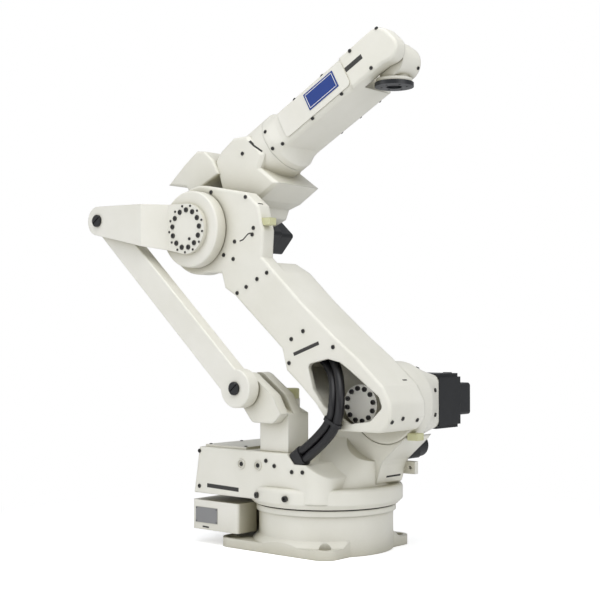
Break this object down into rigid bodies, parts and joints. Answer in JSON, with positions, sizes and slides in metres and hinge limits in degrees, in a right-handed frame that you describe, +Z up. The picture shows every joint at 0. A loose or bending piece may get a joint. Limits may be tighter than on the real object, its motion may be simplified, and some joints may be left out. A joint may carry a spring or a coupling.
{
  "type": "six-axis industrial robot arm",
  "caption": "Floor-standing industrial robot arm: fixed base, turning turret, lower arm with a parallel link, forearm, wrist and bare tool flange, with motors and hoses.",
  "frame": {"origin": "where the turret axis (J1) meets the floor, on the base's bottom face", "axes": "+X forward, the way the arm reaches; +Z up along the turret axis; the parallel link and the hoses are on the -Y side"},
  "size_m": [1.2102, 0.741, 1.6389],
  "materials": {
    "paint": "satin",
    "motor_black": "satin",
    "hose_rubber": "matte",
    "bumper": "matte",
    "pin_black": "satin",
    "bare_steel": "satin",
    "flange_black": "satin",
    "plate_grey": "satin",
    "badge_blue": "gloss",
    "connector_metal": "satin",
    "connector_plastic": "matte"
  },
  "bodies": {
    "base": {"base_casting": "paint", "connector_box": "paint", "connector_panel": "plate_grey", "power_connector": "connector_metal", "signal_connector": "connector_plastic", "nameplate": "plate_grey"},
    "turret": {"turret_casting": "paint", "cable_box_lid": "paint", "lifting_lug": "bare_steel", "j1_motor": "motor_black", "j1_motor_cap": "motor_black", "j2_gear_housing": "paint", "j2_motor": "motor_black", "j2_motor_cap": "motor_black", "link_bracket": "paint", "lower_link_pin": "pin_black", "stop_block": "paint", "stop_cup": "paint", "rear_bumper": "bumper", "front_bumper": "bumper", "hose_gland": "hose_rubber", "hose_tie": "hose_rubber", "hose_upper": "hose_rubber", "hose_lower": "hose_rubber"},
    "lower_arm": {"lower_arm": "paint", "j2_output_flange": "bare_steel", "elbow_bumper": "bumper", "hose_clip": "hose_rubber"},
    "link_rod": {"link_rod": "paint"},
    "link_lever": {"link_lever": "paint", "upper_link_pin": "pin_black"},
    "forearm": {"forearm_housing": "paint", "j3_reducer": "bare_steel", "j3_motor": "motor_black", "j3_motor_cap": "motor_black", "j4_motor": "motor_black", "j5_motor": "motor_black", "j6_motor": "motor_black"},
    "forearm_tube": {"forearm_tube": "paint", "side_cover": "paint", "badge_plate": "badge_blue"},
    "wrist": {"wrist_block": "paint"},
    "tool": {"tool_flange": "flange_black"}
  },
  "joints": [
    {"name": "j1_turret", "type": "hinge", "parent": "base", "child": "turret", "pos_m": [0, 0, 0.148], "axis": [0, 0, 1], "range_deg": [-170, 170]},
    {"name": "j2_lower_arm", "type": "hinge", "parent": "turret", "child": "lower_arm", "pos_m": [0.248, 0, 0.474], "axis": [0, 1, 0], "range_deg": [-3, 95], "deforming": ["hose_upper", "hose_lower"]},
    {"name": "link_lever_pivot", "type": "hinge", "parent": "lower_arm", "child": "link_lever", "pos_m": [-0.38243, 0, 1.03965], "axis": [0, 1, 0], "range_deg": [-95, 3]},
    {"name": "link_rod_pivot", "type": "hinge", "parent": "turret", "child": "link_rod", "pos_m": [-0.12337, 0, 0.51828], "axis": [0, 1, 0], "range_deg": [-3, 95]},
    {"name": "j3_forearm", "type": "hinge", "parent": "link_lever", "child": "forearm", "pos_m": [-0.38243, 0, 1.03965], "axis": [0, 1, 0], "range_deg": [-65, 25]},
    {"name": "j4_forearm_roll", "type": "hinge", "parent": "forearm", "child": "forearm_tube", "pos_m": [-0.16345, 0, 1.34109], "axis": [0.8796, 0, 0.4756], "range_deg": [-180, 180]},
    {"name": "j5_wrist_bend", "type": "hinge", "parent": "forearm_tube", "child": "wrist", "pos_m": [0.27638, 0, 1.5789], "axis": [0, 1, 0], "range_deg": [-238, 1.6]},
    {"name": "j6_tool_turn", "type": "hinge", "parent": "wrist", "child": "tool", "pos_m": [0.27638, 0, 1.4676], "axis": [0, 0, -1], "range_deg": [-350, 350]}
  ],
  "couplings": [
    {"joint": "link_lever_pivot", "follows": "j2_lower_arm", "ratio": -1},
    {"joint": "link_rod_pivot", "follows": "j2_lower_arm", "ratio": 1}
  ]
}
